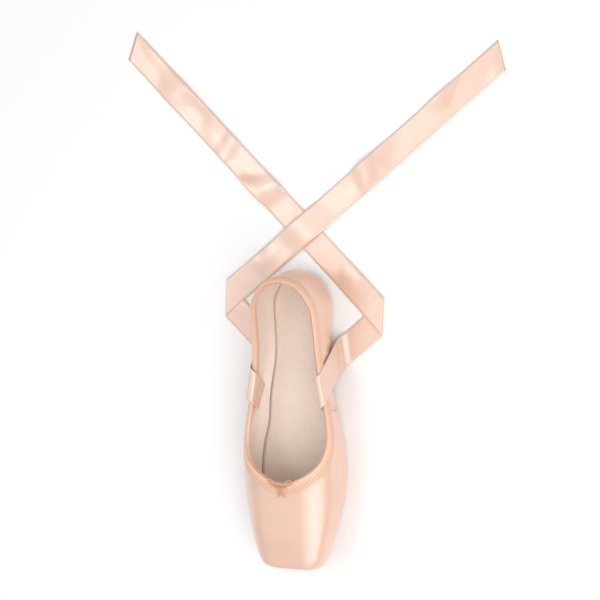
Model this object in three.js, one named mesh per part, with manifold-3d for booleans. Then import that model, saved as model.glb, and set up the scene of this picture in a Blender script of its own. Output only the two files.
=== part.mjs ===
// A pointe shoe: satin upper with a hard toe box, thin leather outsole, insole board, drawstring binding
// with a small bow, and two ankle ribbons lying loose. Millimetres, +X toward the toe, +Z up.
// The sole stands on z = 0 and the middle of the shoe's length is x = 0.

import * as THREE from "three";
import Module from "manifold-3d";

const wasm = await Module();
wasm.setup();

// ---------------------------------------------------------------- driving dimensions (mm)
const LENGTH = 240;
const TOE_X = LENGTH / 2;
const TOE_SPINE_X = TOE_X - 25; // the toe fans out from here
const HEEL_SPINE_X = 32 - LENGTH / 2; // the heel turns round here
const PLATFORM_EDGE = 3.5; // rounding of the platform's edge
const OUTSOLE_THICK = 2.2;
const FIT_GAP = 0.3; // between pieces that touch
const TOE_SPRING = 7;
const ARCH_RISE = 5.5;
const BALL_FLAT = { from: 15, to: 55 };
const HEEL_FLAT_FROM = -62;
const WALL = { quarter: 2.0, box: 3.2, from: 40, to: 80 };
const INSOLE = { thick: 1.8, from: -113, round: 74, to: 100, sideGap: 0.9, fillerGap: 3.5, fillerTip: 0.8 };
const SOLE_EDGE = { upright: 0.9, skive: 1.2, blunt: 0.4 }; // upright part, slant under it, blunt ends
const TURN_UNDER = 2.2; // roundness of the last between its widest outline and its flat
const BINDING = { width: 8.5, inside: 6, thick: 0.9, edgeThinner: 0.3, flatTo: 0.6, corner: 0.2 };
const DRAWSTRING = { diameter: 1.1, sides: 8 };
const KNOT = { x: 49.6, z: 53.6, long: 1.7, across: 2.0, high: 1.4 }; // its place and half sizes
const RIBBON = { width: 22, thick: 0.6, length: 430, rulingStep: 14, endCut: 25 };

// the last: half widths and heights of its sections, heel to toe
const LAST = [
  { x: HEEL_SPINE_X, half: 29.0, flat: 22.0, wide: 20.0, top: 72.0, round: 2.4 },
  { x: -60, half: 28.6, flat: 18.5, wide: 20.0, top: 68.0, round: 2.4 },
  { x: -30, half: 31.0, flat: 14.5, wide: 20.0, top: 66.0, round: 2.4 },
  { x: 0, half: 36.5, flat: 18.0, wide: 19.0, top: 63.0, round: 2.3 },
  { x: 25, half: 41.0, flat: 25.5, wide: 18.0, top: 57.0, round: 2.2 },
  { x: 45, half: 42.5, flat: 28.0, wide: 18.0, top: 51.3, round: 2.2 },
  { x: 60, half: 41.5, flat: 28.0, wide: 18.5, top: 48.9, round: 2.2 },
  { x: 75, half: 38.8, flat: 25.0, wide: 20.0, top: 46.6, round: 2.25 },
  { x: 89, half: 35.6, flat: 20.5, wide: 22.0, top: 44.4, round: 2.3 },
  { x: 104, half: 31.2, flat: 16.0, wide: 23.5, top: 41.9, round: 2.4 },
  { x: 112, half: 28.4, flat: 13.5, wide: 24.0, top: 40.5, round: 2.45 },
  { x: 117, half: 25.8, flat: 12.0, wide: 24.2, top: 39.5, round: 2.5 },
  { x: TOE_X, half: 23.4, flat: 10.5, wide: 24.3, top: 38.8, round: 2.6 },
];

// the outsole's outline: half width at each place, heel to toe
const OUTSOLE = [
  { x: -111, half: 0 },
  { x: -107, half: 9.5 },
  { x: -100, half: 15.5 },
  { x: -88, half: 19.0 },
  { x: -74, half: 18.0 },
  { x: -50, half: 13.6 },
  { x: -25, half: 12.4 },
  { x: 0, half: 15.2 },
  { x: 25, half: 22.3 },
  { x: 48, half: 26.4 },
  { x: 65, half: 25.6 },
  { x: 82, half: 19.2 },
  { x: 92, half: 11.2 },
  { x: 97, half: 0 },
];

// lines over the upper from the sole's edge to the topline, heel to toe: where each meets the last's
// widest outline (side), the opening in the underside (sole) and the topline (top)
const LINES = [
  { sideX: -120, sideY: 0, soleX: -106, soleY: 0, topX: -114, topY: 0, topZ: 56.5 },
  { sideX: -117, sideY: 13, soleX: -103, soleY: 7.5, topX: -111, topY: 11.5, topZ: 56.0 },
  { sideX: -106, sideY: 24, soleX: -97, soleY: 12.5, topX: -102, topY: 20.0, topZ: 53.5 },
  { sideX: -88, sideY: 29, soleX: -86, soleY: 14.0, topX: -87, topY: 25.5, topZ: 49.5 },
  { sideX: -60, sideY: 28.6, soleX: -60, soleY: 10.5, topX: -60, topY: 26.5, topZ: 43.5 },
  { sideX: -30, sideY: 31, soleX: -30, soleY: 7.6, topX: -30, topY: 29.5, topZ: 39.6 },
  { sideX: 0, sideY: 36.5, soleX: 0, soleY: 10.2, topX: -4, topY: 34.5, topZ: 38.0 },
  { sideX: 22, sideY: 40.5, soleX: 22, soleY: 16.5, topX: 12, topY: 35.5, topZ: 39.2 },
  { sideX: 42, sideY: 42.5, soleX: 40, soleY: 20.5, topX: 25, topY: 32.0, topZ: 42.0 },
  { sideX: 62, sideY: 41.2, soleX: 58, soleY: 21.4, topX: 34.5, topY: 25.5, topZ: 44.8 },
  { sideX: 82, sideY: 37, soleX: 72, soleY: 18.5, topX: 41, topY: 18.0, topZ: 47.5 },
  { sideX: 102, sideY: 31.5, soleX: 82, soleY: 13.0, topX: 45, topY: 11.0, topZ: 49.5 },
  { sideX: 118, sideY: 22, soleX: 89, soleY: 6.5, topX: 46.8, topY: 5.5, topZ: 50.5 },
  { sideX: 120, sideY: 0, soleX: 92, soleY: 0, topX: 47.5, topY: 0, topZ: 50.8 },
];
const LINES_PER_GAP = [4, 3, 3, 4, 4, 4, 3, 3, 3, 3, 3, 4, 5]; // lines made between two rows of the table

// rows along each line: from the sole's edge (0) to the bottom corner (1), the widest outline (2),
// the shoulder (3) and the topline (4)
const ROWS = [0, 0.4, 0.7, 0.87, 1, 1.28, 1.6, 2, 2.4, 2.76, 3, 3.05, 3.2, 3.45, 3.72, 4];

// the drawstring's bow on the left side: one loop lying along the topline and one end over the vamp
const BOW_LOOP = [
  { x: 48.6, y: 2.2, z: 53.8 },
  { x: 46.4, y: 4.2, z: 54.0 },
  { x: 44.0, y: 6.6, z: 53.9 },
  { x: 43.6, y: 9.2, z: 53.5 },
  { x: 45.6, y: 9.8, z: 53.1 },
  { x: 48.2, y: 7.2, z: 53.1 },
  { x: 50.0, y: 3.2, z: 53.5 },
];
const BOW_END = [
  { x: 51.5, y: 0.9, z: 53.2 },
  { x: 53.4, y: 1.1, z: 52.7 },
  { x: 55.2, y: 1.4, z: 52.2 },
  { x: 57.0, y: 2.1, z: 51.3 },
  { x: 58.3, y: 3.0, z: 50.3 },
];

// the ribbons' lay: where each is sewn inside its quarter, then each bend in turn. run is the flat length
// before the bend, turn its angle toward the ribbon's face, radius its roundness and skew the angle
// between the bend's line and the ribbon's width; a bend with land comes down flat on that height
const SEWN = { x: -16, y: 29.4, z: 21.2, edge: { x: -0.98, y: -0.165, z: 0.07 }, lean: 0.1 };
const RIBBON_LEFT = [
  { run: 19, turn: -178, radius: 3.2, skew: 28 },
  { land: 0.4, radius: 9 },
  { run: 34, turn: 184, radius: 1.0, skew: 43 },
  { land: 0.4, radius: 30 },
  { run: 82, turn: -14, radius: 30, skew: -8 },
  { run: 4, turn: 26, radius: 22, skew: -22 },
  { land: 0.4, radius: 30 },
  { run: 14, turn: -9, radius: 40, skew: 5 },
  { run: 2, turn: 17, radius: 30, skew: 12 },
  { land: 0.4, radius: 30 },
];
const RIBBON_RIGHT = [
  { run: 19.6, turn: -177, radius: 3.4, skew: 31 },
  { land: 0.4, radius: 9 },
  { run: 38, turn: 184, radius: 1.0, skew: 42 },
  { land: 0.4, radius: 30 },
  { run: 17, turn: -9, radius: 60, skew: -4 },
  { run: 12, turn: 16, radius: 50, skew: -10 },
  { land: 0.4, radius: 50 },
  { run: 22, turn: -12, radius: 30, skew: 8 },
  { run: 2, turn: 22, radius: 24, skew: 18 },
  { land: 0.4, radius: 30 },
];

// ---------------------------------------------------------------- curves through the tables
function smooth(t) {
  return t * t * (3 - 2 * t);
}

// a value between table rows on one smooth curve that keeps to the rows' own rise and fall
function between(rows, key, at, column) {
  let i = 0;
  while (i < rows.length - 2 && at > rows[i + 1][key]) i += 1;
  const slope = (a, b) => (rows[b][column] - rows[a][column]) / (rows[b][key] - rows[a][key]);
  const bend = (k) => {
    if (k === 0) return slope(0, 1);
    if (k === rows.length - 1) return slope(k - 1, k);
    const before = slope(k - 1, k);
    const after = slope(k, k + 1);
    return before * after <= 0 ? 0 : (2 * before * after) / (before + after);
  };
  const span = rows[i + 1][key] - rows[i][key];
  const t = Math.min(1, Math.max(0, (at - rows[i][key]) / span));
  const [a, b] = [rows[i][column], rows[i + 1][column]];
  const [ma, mb] = [bend(i) * span, bend(i + 1) * span];
  const t2 = t * t;
  const t3 = t2 * t;
  return (2 * t3 - 3 * t2 + 1) * a + (t3 - 2 * t2 + t) * ma + (3 * t2 - 2 * t3) * b + (t3 - t2) * mb;
}

// the underside of the upper: flat at ball and heel, arched between, with toe spring
function underside(x) {
  const floor = OUTSOLE_THICK + FIT_GAP;
  if (x > BALL_FLAT.to) return floor + TOE_SPRING * ((x - BALL_FLAT.to) / (TOE_X - BALL_FLAT.to)) ** 1.6;
  if (x > BALL_FLAT.from || x < HEEL_FLAT_FROM) return floor;
  const t = (x - HEEL_FLAT_FROM) / (BALL_FLAT.from - HEEL_FLAT_FROM);
  return floor + ARCH_RISE * Math.sin(Math.PI * t) ** 2;
}

// one section of the last, grown by a margin on every side
function section(x, grow) {
  const at = Math.min(TOE_X, Math.max(HEEL_SPINE_X, x));
  const rounding = Math.max(0, x - grow - (TOE_X - PLATFORM_EDGE));
  const inset = PLATFORM_EDGE - Math.sqrt(Math.max(0, PLATFORM_EDGE ** 2 - rounding ** 2));
  const reach = grow - inset;
  return {
    half: between(LAST, "x", at, "half") + reach,
    flat: between(LAST, "x", at, "flat"),
    wide: between(LAST, "x", at, "wide"),
    top: between(LAST, "x", at, "top") + reach,
    bottom: underside(at) - reach,
    round: between(LAST, "x", at, "round"),
  };
}

// whether a point is inside the last grown by a margin
function inside(p, grow) {
  if (p.x > TOE_X + grow) return false;
  const s = section(p.x, grow);
  const back = Math.min(0, p.x - HEEL_SPINE_X);
  const heelReach = HEEL_SPINE_X + LENGTH / 2 + grow;
  const y = Math.hypot((back * s.half) / heelReach, p.y);
  if (p.z >= s.wide) return (y / s.half) ** s.round + ((p.z - s.wide) / (s.top - s.wide)) ** s.round <= 1;
  if (y <= s.flat) return p.z >= s.bottom;
  const out = (y - s.flat) / (s.half - s.flat);
  const down = (s.wide - p.z) / (s.wide - s.bottom);
  return out ** TURN_UNDER + down ** TURN_UNDER <= 1;
}

// the middle of the last nearest to a point
function spine(p) {
  const x = Math.min(TOE_SPINE_X, Math.max(HEEL_SPINE_X, p.x));
  return new THREE.Vector3(x, 0, between(LAST, "x", x, "wide"));
}

// the point of the last's surface, grown by a margin, that lies on the ray from the spine through a guide
function onLast(guide, grow) {
  const from = spine(guide);
  const along = guide.clone().sub(from).normalize();
  let near = 0;
  let far = 90;
  for (let k = 0; k < 44; k += 1) {
    const mid = (near + far) / 2;
    if (inside(from.clone().addScaledVector(along, mid), grow)) near = mid;
    else far = mid;
  }
  return from.addScaledVector(along, near);
}

function wallAt(x) {
  const t = Math.min(1, Math.max(0, (x - WALL.from) / (WALL.to - WALL.from)));
  return WALL.quarter + (WALL.box - WALL.quarter) * smooth(t);
}

// ---------------------------------------------------------------- the upper's lines
const numbered = LINES.map((row, k) => ({ ...row, k }));
const lineAt = (k) =>
  Object.fromEntries(Object.keys(LINES[0]).map((column) => [column, between(numbered, "k", k, column)]));

const halfLines = [];
LINES_PER_GAP.forEach((count, gap) => {
  for (let n = 0; n < count; n += 1) halfLines.push(lineAt(gap + n / count));
});
halfLines.push(lineAt(LINES.length - 1));

// the guide point of a line at a row: the last's surface lies on the ray through it
function guide(line, row) {
  const side = new THREE.Vector3(line.sideX, line.sideY, 0);
  const at = section(Math.min(line.sideX, TOE_X - PLATFORM_EDGE), 0);
  const marks = [
    new THREE.Vector3(line.soleX, line.soleY, underside(line.soleX)),
    side.clone().setZ(at.bottom),
    side.clone().setZ(at.wide),
    new THREE.Vector3(),
    new THREE.Vector3(line.topX, line.topY, line.topZ),
  ];
  const boxy = smooth(Math.min(1, Math.max(0, (line.sideX - 40) / 70)));
  const shoulder = THREE.MathUtils.lerp(at.wide + 0.62 * (line.topZ - at.wide), at.top, boxy);
  marks[3].copy(side).lerp(marks[4], 0.3 * (1 - boxy)).setZ(shoulder);
  const k = Math.min(3, Math.floor(row));
  return marks[k].clone().lerp(marks[k + 1], row - k);
}

// ---------------------------------------------------------------- solids from rings and grids
function mirrored(p) {
  return new THREE.Vector3(p.x, -p.y, p.z);
}

// the volume that faces enclose: negative where they point inward
function enclosed(points, faces) {
  let volume = 0;
  const corner = (k) => new THREE.Vector3().fromArray(points, 3 * faces[k]);
  for (let k = 0; k < faces.length; k += 3) {
    volume += corner(k).dot(corner(k + 1).cross(corner(k + 2))) / 6;
  }
  return volume;
}

// a closed solid from triangles whose points may repeat: equal points are joined, empty faces dropped
function solid(triangles) {
  const points = [];
  const found = new Map();
  const faces = [];
  const indexOf = (p) => {
    const key = [p.x, p.y, p.z].map((v) => Math.round(v * 1000) + 0).join();
    if (!found.has(key)) {
      found.set(key, points.length / 3);
      points.push(p.x, p.y, p.z);
    }
    return found.get(key);
  };
  for (const triangle of triangles) {
    const [a, b, c] = triangle.map(indexOf);
    if (a !== b && b !== c && c !== a) faces.push(a, b, c);
  }
  if (enclosed(points, faces) < 0) faces.reverse();
  const geometry = new THREE.BufferGeometry();
  geometry.setAttribute("position", new THREE.BufferAttribute(new Float32Array(points), 3));
  geometry.setIndex(faces);
  return geometry;
}

function quad(a, b, c, d) {
  return [
    [a, b, c],
    [a, c, d],
  ];
}

// rings of points joined one to the next: a tube that closes on itself, or one with a face at each end
function loft(rings, closed = false) {
  const triangles = [];
  const count = rings[0].length;
  const last = closed ? rings.length : rings.length - 1;
  for (let i = 0; i < last; i += 1) {
    const here = rings[i];
    const next = rings[(i + 1) % rings.length];
    for (let j = 0; j < count; j += 1) {
      const k = (j + 1) % count;
      triangles.push(...quad(here[j], here[k], next[k], next[j]));
    }
  }
  if (!closed) {
    for (let j = 1; j < count - 1; j += 1) {
      triangles.push([rings[0][0], rings[0][j + 1], rings[0][j]]);
      const end = rings[rings.length - 1];
      triangles.push([end[0], end[j], end[j + 1]]);
    }
  }
  return solid(triangles);
}

function asManifold(geometry) {
  return new wasm.Manifold(
    new wasm.Mesh({
      numProp: 3,
      vertProperties: geometry.attributes.position.array,
      triVerts: new Uint32Array(geometry.index.array),
    }),
  );
}

function asGeometry(manifold) {
  const mesh = manifold.getMesh();
  const geometry = new THREE.BufferGeometry();
  geometry.setAttribute("position", new THREE.BufferAttribute(mesh.vertProperties, 3));
  geometry.setIndex(new THREE.BufferAttribute(mesh.triVerts, 1));
  return geometry;
}

// ---------------------------------------------------------------- upper
function makeUpper() {
  const outer = [];
  const inner = [];
  for (const line of halfLines) {
    const guides = ROWS.map((row) => guide(line, row));
    outer.push(guides.map((g) => onLast(g, 0)));
    inner.push(guides.map((g) => onLast(g, -wallAt(g.x))));
  }
  const triangles = [];
  const face = (a, b, c, d) => {
    triangles.push(...quad(a, b, c, d));
    triangles.push(...quad(mirrored(a), mirrored(d), mirrored(c), mirrored(b)));
  };
  const top = ROWS.length - 1;
  for (let i = 0; i < halfLines.length - 1; i += 1) {
    for (let j = 0; j < top; j += 1) {
      face(outer[i][j], outer[i][j + 1], outer[i + 1][j + 1], outer[i + 1][j]);
      face(inner[i][j], inner[i + 1][j], inner[i + 1][j + 1], inner[i][j + 1]);
    }
    face(outer[i][0], outer[i + 1][0], inner[i + 1][0], inner[i][0]);
    face(outer[i][top], inner[i][top], inner[i + 1][top], outer[i + 1][top]);
  }
  return solid(triangles);
}

// ---------------------------------------------------------------- outsole
function stations(from, to, count) {
  return Array.from({ length: count }, (_, k) => {
    const turn = (1 - Math.cos((Math.PI * k) / (count - 1))) / 2;
    const even = k / (count - 1);
    return from + (to - from) * (0.55 * turn + 0.45 * even);
  });
}

function makeOutsole() {
  const [heel, toe] = [OUTSOLE[0].x + SOLE_EDGE.blunt, OUTSOLE[OUTSOLE.length - 1].x - SOLE_EDGE.blunt];
  const rings = stations(heel, toe, 40).map((x) => {
    const half = between(OUTSOLE, "x", x, "half");
    const top = underside(x) - FIT_GAP;
    const base = top - OUTSOLE_THICK;
    const skive = Math.min(SOLE_EDGE.skive, half / 2);
    return [
      new THREE.Vector3(x, -half, top),
      new THREE.Vector3(x, -half, top - SOLE_EDGE.upright),
      new THREE.Vector3(x, skive - half, base),
      new THREE.Vector3(x, half - skive, base),
      new THREE.Vector3(x, half, top - SOLE_EDGE.upright),
      new THREE.Vector3(x, half, top),
    ];
  });
  return loft(rings);
}

// ---------------------------------------------------------------- insole
// half the width of a section at a height below its widest
function reachAt(x, z, grow) {
  const s = section(x, grow);
  const down = Math.min(1, Math.max(0, (s.wide - z) / (s.wide - s.bottom)));
  const reach = s.flat + (s.half - s.flat) * (1 - down ** TURN_UNDER) ** (1 / TURN_UNDER);
  const back = Math.max(0, HEEL_SPINE_X - x) * (s.half / (HEEL_SPINE_X + LENGTH / 2 + grow));
  const front = Math.max(0, (x - INSOLE.round) / (INSOLE.to - INSOLE.round));
  return Math.sqrt(Math.max(0, reach ** 2 - back ** 2)) * Math.sqrt(Math.max(0, 1 - front ** 2));
}

// the board lies on the upper's turned-in margin and drops into the opening between the margins
function makeInsole() {
  const board = stations(INSOLE.from, INSOLE.to - 0.3, 40).map((x) => {
    const low = underside(x) + wallAt(x) + FIT_GAP;
    const high = low + INSOLE.thick;
    const lowHalf = reachAt(x, low, -wallAt(x) - INSOLE.sideGap);
    const highHalf = reachAt(x, high, -wallAt(x) - INSOLE.sideGap);
    return [
      new THREE.Vector3(x, -lowHalf, low),
      new THREE.Vector3(x, lowHalf, low),
      new THREE.Vector3(x, highHalf, high),
      new THREE.Vector3(x, -highHalf, high),
    ];
  });
  const first = LINES[0].soleX + INSOLE.fillerGap;
  const last = LINES[LINES.length - 1].soleX - INSOLE.fillerGap;
  const filler = stations(first, last, 34).map((x) => {
    const bottom = underside(x);
    const top = bottom + wallAt(x) + 2 * FIT_GAP;
    const closing = 1 - (top - bottom) / (between(LAST, "x", Math.max(HEEL_SPINE_X, x), "wide") - bottom);
    const soleX = x < HEEL_SPINE_X ? HEEL_SPINE_X + (x - HEEL_SPINE_X) / closing : x;
    const half = Math.max(INSOLE.fillerTip, between(LINES, "soleX", soleX, "soleY") * closing - 2 * FIT_GAP);
    return [
      new THREE.Vector3(x, -half, bottom),
      new THREE.Vector3(x, half, bottom),
      new THREE.Vector3(x, half, top),
      new THREE.Vector3(x, -half, top),
    ];
  });
  return asGeometry(asManifold(loft(board)).add(asManifold(loft(filler))));
}

// ---------------------------------------------------------------- binding
// the guide's row where a line is a given distance below the topline, or above it where negative
function rowBelowTop(line, distance) {
  const top = onLast(guide(line, 4), 0);
  let near = 4;
  let far = distance < 0 ? 5 : 3;
  for (let k = 0; k < 30; k += 1) {
    const mid = (near + far) / 2;
    if (onLast(guide(line, mid), 0).distanceTo(top) < Math.abs(distance)) near = mid;
    else far = mid;
  }
  return near;
}

function atBinding(line, distance, grow) {
  return onLast(guide(line, rowBelowTop(line, distance)), grow);
}

// the casing's section on one line: up the outside, over the topline and down the inside
function bindingRing(line) {
  const wall = wallAt(line.topX);
  const out = FIT_GAP + BINDING.thick;
  return [
    atBinding(line, BINDING.width, FIT_GAP),
    atBinding(line, BINDING.width, out - BINDING.edgeThinner),
    atBinding(line, BINDING.width * BINDING.flatTo, out),
    atBinding(line, 0, out),
    atBinding(line, -out, -wall * BINDING.corner),
    atBinding(line, -out, -wall * (1 - BINDING.corner)),
    atBinding(line, 0, -wall - out),
    atBinding(line, BINDING.inside, -wall - out + BINDING.edgeThinner),
    atBinding(line, BINDING.inside, -wall - FIT_GAP),
    atBinding(line, -FIT_GAP, -wall - FIT_GAP),
    atBinding(line, -FIT_GAP, FIT_GAP),
  ];
}

function makeBinding() {
  const half = halfLines.map(bindingRing);
  const back = half.slice(1, -1).reverse();
  return loft([...half, ...back.map((ring) => ring.map(mirrored))], true);
}

// ---------------------------------------------------------------- drawstring bow
function cordAlong(points, side) {
  const path = new THREE.CatmullRomCurve3(points.map((p) => new THREE.Vector3(p.x, side * p.y, p.z)));
  const shape = new THREE.Shape();
  for (let k = 0; k < DRAWSTRING.sides; k += 1) {
    const turn = (2 * Math.PI * k) / DRAWSTRING.sides;
    const [x, y] = [Math.cos(turn), Math.sin(turn)].map((v) => (v * DRAWSTRING.diameter) / 2);
    if (k === 0) shape.moveTo(x, y);
    else shape.lineTo(x, y);
  }
  const steps = Math.ceil(path.getLength() / (1.4 * DRAWSTRING.diameter));
  return new THREE.ExtrudeGeometry(shape, { extrudePath: path, steps, curveSegments: 1 });
}

function makeKnot() {
  const { x, z, long, across, high } = KNOT;
  return new THREE.SphereGeometry(1, 12, 8).scale(long, across, high).translate(x, 0, z);
}

// ---------------------------------------------------------------- ribbons
// A ribbon bends only about straight lines across it, so its flat shape and length stay true: every
// ruling is one such line, with the ribbon flat between one and the next.
function ribbonRulings(lay) {
  const skew = THREE.MathUtils.degToRad(lay[0].skew);
  const edge = new THREE.Vector3(SEWN.edge.x, SEWN.edge.y, SEWN.edge.z).normalize();
  const up = new THREE.Vector3(0, -SEWN.lean, 1);
  up.addScaledVector(edge, -up.dot(edge)).normalize();
  const at = new THREE.Vector3(SEWN.x, SEWN.y, SEWN.z);
  const along = up.clone().multiplyScalar(Math.cos(skew)).addScaledVector(edge, Math.sin(skew));
  const across = edge.clone().multiplyScalar(Math.cos(skew)).addScaledVector(up, -Math.sin(skew));
  const rulings = [];
  let used = 0;
  const rule = (angle) => {
    const line = along.clone().multiplyScalar(Math.sin(angle)).addScaledVector(across, Math.cos(angle));
    const reach = RIBBON.width / 2 / Math.cos(angle);
    const face = along.clone().cross(across);
    rulings.push({
      low: at.clone().addScaledVector(line, -reach),
      high: at.clone().addScaledVector(line, reach),
      face,
      at: at.clone(),
      used,
    });
    return line;
  };
  const advance = (distance) => {
    at.addScaledVector(along, distance);
    used += distance;
  };
  rule(0);
  for (const bend of lay) {
    let angle = THREE.MathUtils.degToRad(bend.skew ?? 0);
    let turn = THREE.MathUtils.degToRad(bend.turn ?? 0);
    let run = bend.run;
    if (bend.land !== undefined) {
      const face = along.clone().cross(across);
      const level = new THREE.Vector3(face.y, -face.x, 0).normalize();
      if (level.dot(across) < 0) level.negate();
      angle = Math.atan2(level.dot(along), level.dot(across));
      const perpendicular = along.clone().multiplyScalar(Math.cos(angle));
      perpendicular.addScaledVector(across, -Math.sin(angle));
      const slope = Math.asin(-perpendicular.z);
      turn = face.z > 0 ? slope : -slope;
      run = (at.z - bend.land - bend.radius * (1 - Math.cos(slope))) / -along.z;
    }
    advance(run);
    const steps = Math.max(2, Math.ceil(Math.abs(THREE.MathUtils.radToDeg(turn)) / RIBBON.rulingStep));
    const arc = (bend.radius * Math.abs(turn)) / Math.cos(angle) / steps;
    for (let k = 0; k < steps; k += 1) {
      advance(arc / 2);
      const line = rule(angle);
      along.applyAxisAngle(line, -turn / steps);
      across.applyAxisAngle(line, -turn / steps);
      advance(arc / 2);
    }
  }
  advance(RIBBON.length - used);
  rule(THREE.MathUtils.degToRad(RIBBON.endCut));
  return rulings;
}

function makeRibbon(lay, side) {
  const rulings = ribbonRulings(lay);
  const rings = rulings.map((ruling, k) => {
    const before = rulings[Math.max(0, k - 1)].face;
    const lift = before.clone().add(ruling.face).normalize().multiplyScalar(RIBBON.thick / 2);
    return [
      ruling.low.clone().add(lift),
      ruling.high.clone().add(lift),
      ruling.high.clone().sub(lift),
      ruling.low.clone().sub(lift),
    ];
  });
  return loft(side > 0 ? rings : rings.map((ring) => ring.map(mirrored)));
}

// ---------------------------------------------------------------- parts
const SATIN = new THREE.MeshStandardMaterial({ color: "#f3d0b6", roughness: 0.42, metalness: 0 });
const CORD = new THREE.MeshStandardMaterial({ color: "#f0cfb6", roughness: 0.75, metalness: 0 });
const LINING = new THREE.MeshStandardMaterial({ color: "#eee0d4", roughness: 0.9, metalness: 0 });
const LEATHER = new THREE.MeshStandardMaterial({ color: "#e6c9bf", roughness: 0.8, metalness: 0 });

function piece(name, geometry, material) {
  const flat = geometry.index ? geometry.toNonIndexed() : geometry;
  flat.computeVertexNormals();
  const mesh = new THREE.Mesh(flat, material);
  mesh.name = name;
  return mesh;
}

const shoe = new THREE.Group();
shoe.add(piece("upper", makeUpper(), SATIN));
shoe.add(piece("outsole", makeOutsole(), LEATHER));
shoe.add(piece("insole", makeInsole(), LINING));
shoe.add(piece("binding", makeBinding(), SATIN));
shoe.add(piece("drawstring_knot", makeKnot(), CORD));
for (const [name, side] of [["left", 1], ["right", -1]]) {
  shoe.add(piece(`drawstring_loop_${name}`, cordAlong(BOW_LOOP, side), CORD));
  shoe.add(piece(`drawstring_end_${name}`, cordAlong(BOW_END, side), CORD));
}
shoe.add(piece("ribbon_left", makeRibbon(RIBBON_LEFT, 1), SATIN));
shoe.add(piece("ribbon_right", makeRibbon(RIBBON_RIGHT, -1), SATIN));

export default shoe;
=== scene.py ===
import math
import random

import bmesh
import bpy
import numpy as np
from mathutils import Matrix, Vector, noise


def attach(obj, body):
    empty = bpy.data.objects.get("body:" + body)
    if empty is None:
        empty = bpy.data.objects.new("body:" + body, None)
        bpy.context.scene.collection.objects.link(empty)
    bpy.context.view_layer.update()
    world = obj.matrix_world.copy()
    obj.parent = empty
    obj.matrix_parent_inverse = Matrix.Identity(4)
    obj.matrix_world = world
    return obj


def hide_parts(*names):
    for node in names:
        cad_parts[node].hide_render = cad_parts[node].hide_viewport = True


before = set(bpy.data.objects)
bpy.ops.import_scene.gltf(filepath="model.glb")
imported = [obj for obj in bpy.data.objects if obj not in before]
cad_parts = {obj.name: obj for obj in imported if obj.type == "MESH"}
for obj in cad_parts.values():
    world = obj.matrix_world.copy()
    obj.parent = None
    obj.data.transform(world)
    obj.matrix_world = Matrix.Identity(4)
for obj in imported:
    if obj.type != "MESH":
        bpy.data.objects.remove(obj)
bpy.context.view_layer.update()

# A pointe shoe in peach satin, standing empty on its sole with its ribbons laid down behind it. Tables and
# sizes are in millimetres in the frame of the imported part: +X heel to toe, +Y across, +Z up from the floor.
MM = 0.001
LENGTH = 240
TOE_X = 120
TOE_SPINE_X = 95  # the toe fans out from here
HEEL_SPINE_X = -88  # the heel turns round here
PLATFORM_EDGE = 3.5  # rounding of the platform's edge
OUTSOLE_THICK = 2.2
FIT_GAP = 0.3  # between pieces that touch
TOE_SPRING, SPRING_CURVE = 7, 1.6
ARCH_RISE = 5.5
TURN_UNDER = 2.2  # roundness of the last between its widest outline and its flat
BALL_FROM, BALL_TO = 15, 55
HEEL_FLAT_FROM = -62
WALL_QUARTER, WALL_BOX, WALL_GROWS = 2.0, 3.2, (40, 80)

# the sock: its edge's heights over the insole's underside with their gaps to the lining, and its shape
SOCK_RINGS = ((0.0, 0.35), (1.0, 0.3), (1.8, 0.1))
SOCK_HEEL, SOCK_TOE, SOCK_ROUND_FROM, SOCK_ROUND_LONG, SOCK_DIP = -112.5, 99.2, 74, 26, 0.25

# the last: x, half width, half width of its flat, height of the widest outline, top and roundness
LAST = (
    (HEEL_SPINE_X, 29.0, 22.0, 20.0, 72.0, 2.4),
    (-60, 28.6, 18.5, 20.0, 68.0, 2.4),
    (-30, 31.0, 14.5, 20.0, 66.0, 2.4),
    (0, 36.5, 18.0, 19.0, 63.0, 2.3),
    (25, 41.0, 25.5, 18.0, 57.0, 2.2),
    (45, 42.5, 28.0, 18.0, 51.3, 2.2),
    (60, 41.5, 28.0, 18.5, 48.9, 2.2),
    (75, 38.8, 25.0, 20.0, 46.6, 2.25),
    (89, 35.6, 20.5, 22.0, 44.4, 2.3),
    (104, 31.2, 16.0, 23.5, 41.9, 2.4),
    (112, 28.4, 13.5, 24.0, 40.5, 2.45),
    (117, 25.8, 12.0, 24.2, 39.5, 2.5),
    (TOE_X, 23.4, 10.5, 24.3, 38.8, 2.6),
)
HALF, FLAT, WIDE, TOP, ROUND = 1, 2, 3, 4, 5

# how many sections along the shoe the outsole, its edge lines and the sock have
OUTSOLE_SECTIONS, EDGE_SECTIONS, SOCK_SECTIONS = 150, 170, 90
# the outsole: how far its edge slants in, the upright part of its edge, and its outline's x and half width
OUTSOLE_SKIVE, OUTSOLE_UPRIGHT = 1.2, 0.9
OUTSOLE = (
    (-111, 0), (-107, 9.5), (-100, 15.5), (-88, 19.0), (-74, 18.0), (-50, 13.6), (-25, 12.4), (0, 15.2),
    (25, 22.3), (48, 26.4), (65, 25.6), (82, 19.2), (92, 11.2), (97, 0),
)

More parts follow.
